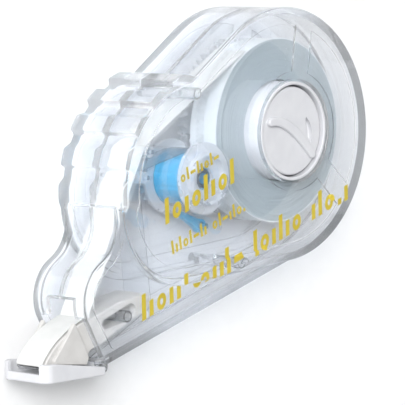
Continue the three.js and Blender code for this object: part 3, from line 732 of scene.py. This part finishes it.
def applicator_head():
    profile = crown(0) + arc(TIP, TIP_RADIUS, 130, 245, 16)
    profile += [Vector(c) for c in ((-65.6, -23.9), (-63.6, -22.6), (-56, -21.6))]
    profile += arc(SHANK_END, SHANK_RADIUS, -100, 85, 28) + [Vector((-54, -16.4))]
    wedge = slab(rounded(profile, 0.3), TAPE_LOW - WEDGE_SIDE, TAPE_HIGH + WEDGE_SIDE, 0.25, 0.25)
    head = joined(
        wedge,
        side_fin(TAPE_LOW - FIN_OUTER, TAPE_LOW - FIN_INNER),
        side_fin(TAPE_HIGH + FIN_INNER, TAPE_HIGH + FIN_OUTER),
    )
    slot = arc(SLOT_BACK, SLOT_BACK_RADIUS, 90, 270, 20) + arc(SLOT_FRONT, SLOT_FRONT_RADIUS, -90, 90, 24)
    notches = []
    for i in range(NOTCH_COUNT):
        x = NOTCH_FIRST + NOTCH_PITCH * i
        notches.append(block((x, NOTCH_FLOOR, 0), (x + NOTCH_WIDTH, NOTCH_DEPTH, 20)))
    return cut(head, slab(slot, 0, 20), *notches)


def strip(path):
    """A thin ribbon on edge along a path, as wide as the tape."""
    left, right = [], []
    for i, point in enumerate(path):
        direction = path[min(i + 1, len(path) - 1)] - path[max(i - 1, 0)]
        side = Vector((-direction.y, direction.x)).normalized() * TAPE_THICKNESS / 2
        left.append(point + side)
        right.append(point - side)
    return slab(right + left[::-1], TAPE_LOW, TAPE_HIGH)


def fresh_tape():
    roll_side, guide_side = ROLL_RADIUS + LIFT, GUIDE_RADIUS + LIFT
    lean = math.degrees(math.acos((roll_side - guide_side) / (GUIDE_UPPER - ORIGIN).length))
    leave = bearing(ORIGIN, GUIDE_UPPER) - lean
    return strip(
        [polar(ORIGIN, roll_side, leave)]
        + arc(GUIDE_UPPER, guide_side, leave, 135, 16)
        + crown(LIFT)
        + arc(TIP, TIP_RADIUS + LIFT, 130, 178, 8)
    )


def spent_film():
    return strip(
        arc(TIP, TIP_RADIUS + LIFT, 190, 245, 8)
        + [Vector((-65.7, -24.3))]
        + arc(SHANK_END, SHANK_RADIUS + LIFT, -78, -10, 16)
        + arc(GUIDE_LOWER, GUIDE_RADIUS + LIFT, 170, 96, 16)
        + [polar(TAKE_UP, FILM_WRAP + LIFT, 98)]
    )


def tray_outline(inset):
    across, corner = COVER_WIDTH - inset, COVER_CORNER - inset
    front_low = Vector((COVER_CORNER, COVER_CORNER))
    front_high = Vector((COVER_CORNER, COVER_WIDTH - COVER_CORNER))
    return arc(front_high, corner, 90, 180, 16) + arc(front_low, corner, 180, 270, 16) + [
        Vector((COVER_LENGTH + inset, inset)), Vector((COVER_LENGTH + inset, across)),
    ]


def tip_cover():
    """Drawn flat, length along x and width along y, then laid on its slope under the head."""
    tray = slab(tray_outline(0), 0, COVER_HEIGHT, 0.35, 0.3)
    hollow = slab(tray_outline(COVER_WALL), COVER_FLOOR, COVER_HEIGHT + OVERCUT, 0.3)
    above = COVER_HEIGHT + 2 * OVERCUT
    taper = slab([
        Vector((COVER_SHOULDER, COVER_HEIGHT)), Vector((COVER_LENGTH + OVERCUT, COVER_BACK)),
        Vector((COVER_LENGTH + OVERCUT, above)), Vector((COVER_SHOULDER, above)),
    ], -OVERCUT, COVER_WIDTH + OVERCUT)
    taper.data.transform(Matrix(((1, 0, 0, 0), (0, 0, 1, 0), (0, 1, 0, 0), (0, 0, 0, 1))))
    taper.data.flip_normals()
    gate = block((-OVERCUT, COVER_CORNER, COVER_LIP), (COVER_CORNER, COVER_WIDTH - COVER_CORNER, above))
    cut(tray, hollow, taper, gate)
    stand = Matrix.Rotation(math.radians(-90), 4, "X")
    slope = Matrix.Rotation(math.radians(COVER_SLOPE), 4, "Z")
    across = Matrix.Translation((0, 0, MIDDLE + COVER_WIDTH / 2))
    tray.data.transform(Matrix.Translation((*COVER_FRONT, 0)) @ slope @ across @ stand)
    low, high = KNUCKLE
    web = [
        Vector((-63.6, -27.65)), Vector((HINGE.x, HINGE.y - HINGE_EYE)),
        Vector((HINGE.x, HINGE.y + 0.4)), Vector((-63.6, -26.95)),
    ]
    eye = slab(circle(HINGE, HINGE_EYE, 48), low, high, 0.1, 0.1)
    knuckle = joined(eye, slab(web, low + COINCIDENT, high - COINCIDENT))
    return cut(joined(tray, knuckle), slab(circle(HINGE, HINGE_BORE, 40), 0, 20))


# ---------------------------------------------------------------- printed marks
INK_LIFT = 0.006
INK_FILM = 0.024
INK_CELL = 0.3
INK_STEP = 2


def ink_sheet(cells, surface):
    """A closed film of ink laid over the surface below, or nothing if a part of it would miss the case."""
    points, index, quads = [], {}, []
    for cell in cells:
        quad = []
        for p in cell:
            key = (round(p.x, 4), round(p.y, 4))
            if key not in index:
                index[key] = len(points)
                points.append(p)
            quad.append(index[key])
        quads.append(quad)
    heights = []
    for p in points:
        hit = surface.ray_cast(Vector((p.x, p.y, CASE_WIDTH + 5)), Vector((0, 0, -1)))[0]
        if hit is None or hit.z < CASE_WIDTH - NOSE_INSET - 1:
            return [], []
        heights.append(hit.z)
    quads = [q for q in quads if max(heights[i] for i in q) - min(heights[i] for i in q) < INK_STEP]
    used = sorted({i for q in quads for i in q})
    quads = [[used.index(i) for i in q] for q in quads]
    points, heights = [points[i] for i in used], [heights[i] for i in used]
    count = len(points)
    verts = [(p.x, p.y, z + INK_LIFT + INK_FILM) for p, z in zip(points, heights)]
    verts += [(p.x, p.y, z + INK_LIFT) for p, z in zip(points, heights)]
    faces = [tuple(q) for q in quads] + [tuple(i + count for i in q[::-1]) for q in quads]
    sides = {}
    for q in quads:
        for a, b in zip(q, q[1:] + q[:1]):
            sides[(a, b)] = True
    for a, b in sides:
        if (b, a) not in sides:
            faces.append((b, a, a + count, b + count))
    return verts, faces


def bar_cells(width, low, high):
    """An upright bar as a grid of quads."""
    across, up = max(1, round(width / INK_CELL)), max(1, round((high - low) / INK_CELL))
    cells = []
    for i in range(across):
        for j in range(up):
            x0, x1 = width * i / across, width * (i + 1) / across
            y0, y1 = low + (high - low) * j / up, low + (high - low) * (j + 1) / up
            cells.append([Vector(c) for c in ((x0, y0), (x1, y0), (x1, y1), (x0, y1))])
    return cells


def loop_cells(width, low, high, stroke):
    """An oval ring as a band of quads."""
    centre = Vector((width / 2, (low + high) / 2))
    outer = Vector((width / 2, (high - low) / 2))
    cells = []
    steps = 28
    for i in range(steps):
        quad = []
        for turn, inside in ((i, 1), (i, 0), (i + 1, 0), (i + 1, 1)):
            angle = 2 * math.pi * (turn % steps) / steps
            reach = outer - Vector((stroke, stroke)) * inside
            quad.append(centre + Vector((reach.x * math.cos(angle), reach.y * math.sin(angle))))
        cells.append(quad)
    return cells


def printed_row(start, angle, height, stroke, marks, lean, surface):
    """A row of slanted marks along a base line: tall bars, short bars, rings, dots and gaps."""
    verts, faces = [], []
    along = 0.0
    turn = Matrix.Rotation(math.radians(angle), 2)
    short = 0.62 * height
    for mark in marks:
        width = stroke
        if mark == "tall":
            cells = bar_cells(stroke, 0, height)
        elif mark == "short":
            cells = bar_cells(stroke, 0, short)
        elif mark == "ring":
            width = short * 0.9
            cells = loop_cells(width, 0, short, stroke * 0.75)
        elif mark == "dash":
            width = short
            cells = bar_cells(width, short * 0.4, short * 0.4 + stroke)
        elif mark == "dot":
            cells = bar_cells(stroke, 0, stroke)
        else:
            along += stroke * 2.2
            continue
        moved = [[start + turn @ Vector((p.x + along + p.y * lean, p.y)) for p in cell] for cell in cells]
        some_verts, some_faces = ink_sheet(moved, surface)
        faces += [tuple(i + len(verts) for i in face) for face in some_faces]
        verts += some_verts
        along += width + stroke * 0.85
    return mesh_object(verts, faces)


# ---------------------------------------------------------------- the pieces
near = near_half()
graph = bpy.context.evaluated_depsgraph_get()
near_surface = BVHTree.FromObject(near, graph)
# Name, start, angle, height, stroke, lean and marks of each printed row.
ROWS = (
    ("ink_row_lower", (-51.2, -21.3), 2.0, 4.9, 1.2, 0.3,
     "tall short ring short tall gap ring short short tall dash gap tall ring short tall short ring gap "
     "short tall ring dot short tall"),
    ("ink_row_middle", (-41.0, -11.2), 2.0, 2.6, 0.62, 0.15,
     "tall short tall ring tall dash tall short gap ring tall dash short tall ring dot"),
    ("ink_row_upper", (-41.2, -5.0), 3.0, 4.8, 1.2, 0.3, "tall ring short ring tall short ring tall"),
    ("ink_row_top", (-34.6, 1.2), 3.0, 2.4, 0.6, 0.15, "ring tall dash tall short ring tall dash"),
)
for row_name, start, angle, height, stroke, lean, marks in ROWS:
    ink = printed_row(Vector(start), angle, height, stroke, marks.split(), lean, near_surface)
    piece(ink, row_name, "case", None, GOLD)

piece(near, "case_shell_near", "case", "case_clear", CASE_CLEAR, "near_case_half")
piece(far_half(), "case_shell_far", "case", "case_clear", CASE_CLEAR, "far_case_half")
piece(supply_gear(), "drive_wheel", "drive_gear", "gear_clear", GEAR_CLEAR, "supply_gear")
piece(clutch_disc(), "hub_disc", "drive_gear", "white_plastic", WHITE, "clutch_disc")
piece(supply_core(), "hub_sleeve", "supply_reel", "white_plastic", WHITE, "supply_core")
piece(tape_roll(), "tape_winding", "supply_reel", "wound_tape", WOUND, "tape_roll")
piece(take_up_gear(), "take_up_wheel", "take_up_reel", "gear_clear", GEAR_CLEAR, "take_up_gear")
piece(take_up_core(), "take_up_barrel", "take_up_reel", "blue_plastic", BLUE, "take_up_core")
piece(take_up_flange(), "take_up_rim", "take_up_reel", "gear_clear", GEAR_CLEAR, "take_up_flange")
piece(
    tube(TAKE_UP, FILM_WRAP, FILM_INNER, TAPE_LOW, TAPE_HIGH, 0.05),
    "film_winding", "take_up_reel", "spent_film", FILM_CLEAR, "spent_film_wrap",
)
piece(pawl(), "pawl_arm", "pawl", "blue_plastic", BLUE, "anti_reverse_pawl")
piece(guide_sleeve(GUIDE_UPPER), "guide_upper", "upper_guide", "gear_clear", GEAR_CLEAR, "guide_roller_upper")
piece(guide_sleeve(GUIDE_LOWER), "guide_lower", "lower_guide", "gear_clear", GEAR_CLEAR, "guide_roller_lower")
piece(applicator_head(), "head", "case", "white_plastic", HEAD_WHITE, "applicator_head")
piece(fresh_tape(), "tape_fresh", "case", "tape_strip", TAPE_WHITE, "fresh_tape_run")
piece(spent_film(), "film_spent", "case", "spent_film", FILM_CLEAR, "spent_film_run")
piece(tip_cover(), "cover", "cap", "white_plastic", WHITE, "tip_cover")
piece(
    slab(circle(HINGE, HINGE_PIN, 48), *HINGE_PIN_ENDS, 0.12, 0.12),
    "cover_pin", "case", "pin_steel", STEEL, "tip_cover_pin",
)

# ---------------------------------------------------------------- floor, light and camera
floor_look, floor_nodes, floor_links, floor_bsdf = blank("pale_floor")
floor_mottle = mottle(floor_nodes, floor_links, 300, 0, 1)
floor_tone = blended(floor_nodes, floor_links, floor_mottle, (0.83, 0.83, 0.83), (0.85, 0.85, 0.85))
floor_links.new(floor_tone, floor_bsdf.inputs["Base Color"])
floor_links.new(mottle(floor_nodes, floor_links, 500, 0.7, 0.8), floor_bsdf.inputs["Roughness"])
FLOOR_REACH, FLOOR_THICKNESS, FLOOR_DROP = 3000, 5, 0.02
floor = block((-FLOOR_REACH, -FLOOR_REACH, -FLOOR_THICKNESS), (FLOOR_REACH, FLOOR_REACH, -FLOOR_DROP))
floor.name = "floor"
floor.data.transform(Matrix.Scale(MM, 4))
floor.data.materials.append(floor_look)

TARGET = Vector((-0.021605, -0.00805, 0.0088))
KEY_STRENGTH, KEY_SPREAD = 3.3, 26
KEY_AZIMUTH, KEY_ELEVATION = 142, 39
STRIP_POWER, STRIP_SIZE, STRIP_DISTANCE = 0.35, 0.16, 0.5
STRIP_AZIMUTH, STRIP_ELEVATION = 120, 35
SKY_STRENGTH = 0.68


def direction_from(azimuth, elevation):
    a, e = math.radians(azimuth), math.radians(elevation)
    return Vector((math.cos(e) * math.cos(a), math.cos(e) * math.sin(a), math.sin(e)))


def aimed(name, lamp, towards):
    """Puts a lamp into the scene, shining from the given direction at the target."""
    light = bpy.data.objects.new(name, lamp)
    bpy.context.scene.collection.objects.link(light)
    light.rotation_euler = towards.to_track_quat("Z", "Y").to_euler()
    return light


strip_lamp = bpy.data.lights.new("strip", "AREA")
strip_lamp.shape = "DISK"
strip_lamp.size = STRIP_SIZE
strip_lamp.energy = STRIP_POWER
strip_direction = direction_from(STRIP_AZIMUTH, STRIP_ELEVATION)
strip_light = aimed("strip", strip_lamp, strip_direction)
strip_light.location = TARGET + strip_direction * STRIP_DISTANCE

sun = bpy.data.lights.new("key", "SUN")
sun.energy = KEY_STRENGTH
sun.angle = math.radians(KEY_SPREAD)
aimed("key", sun, direction_from(KEY_AZIMUTH, KEY_ELEVATION))

world = bpy.data.worlds.new("studio")
bpy.context.scene.world = world
world.use_nodes = True
sky_nodes, sky_links = world.node_tree.nodes, world.node_tree.links
sky_place = sky_nodes.new("ShaderNodeTexCoord")
sky_split = sky_nodes.new("ShaderNodeSeparateXYZ")
sky_ramp = sky_nodes.new("ShaderNodeValToRGB")
sky_ramp.color_ramp.elements[0].position = 0.0
sky_ramp.color_ramp.elements[0].color = (0.5, 0.525, 0.57, 1)
sky_ramp.color_ramp.elements[1].position = 0.75
sky_ramp.color_ramp.elements[1].color = (0.8, 0.805, 0.81, 1)
sky_links.new(sky_place.outputs["Generated"], sky_split.inputs["Vector"])
sky_links.new(sky_split.outputs["Z"], sky_ramp.inputs["Fac"])
sky_links.new(sky_ramp.outputs["Color"], sky_nodes["Background"].inputs["Color"])
sky_nodes["Background"].inputs["Strength"].default_value = SKY_STRENGTH

CAMERA_DISTANCE = 0.55805
CAMERA_AZIMUTH, CAMERA_ELEVATION, CAMERA_ROLL = 156.894, 42.366, -94.309
CAMERA_LENS = 247.11
towards_camera = direction_from(CAMERA_AZIMUTH, CAMERA_ELEVATION)
forward = -towards_camera
level_right = forward.cross(Vector((0, 0, 1))).normalized()
level_up = level_right.cross(forward)
roll = math.radians(CAMERA_ROLL)
up = level_up * math.cos(roll) + level_right * math.sin(roll)
right = forward.cross(up)
lens = bpy.data.cameras.new("camera")
lens.lens = CAMERA_LENS
lens.sensor_width = 36
lens.clip_start = 0.01

camera = bpy.data.objects.new("camera", lens)
bpy.context.scene.collection.objects.link(camera)
camera.matrix_world = Matrix((
    (right.x, up.x, -forward.x, 0),
    (right.y, up.y, -forward.y, 0),
    (right.z, up.z, -forward.z, 0),
    (0, 0, 0, 1),
))
camera.location = TARGET + towards_camera * CAMERA_DISTANCE
bpy.context.scene.camera = camera
bpy.context.scene.view_settings.view_transform = "Standard"
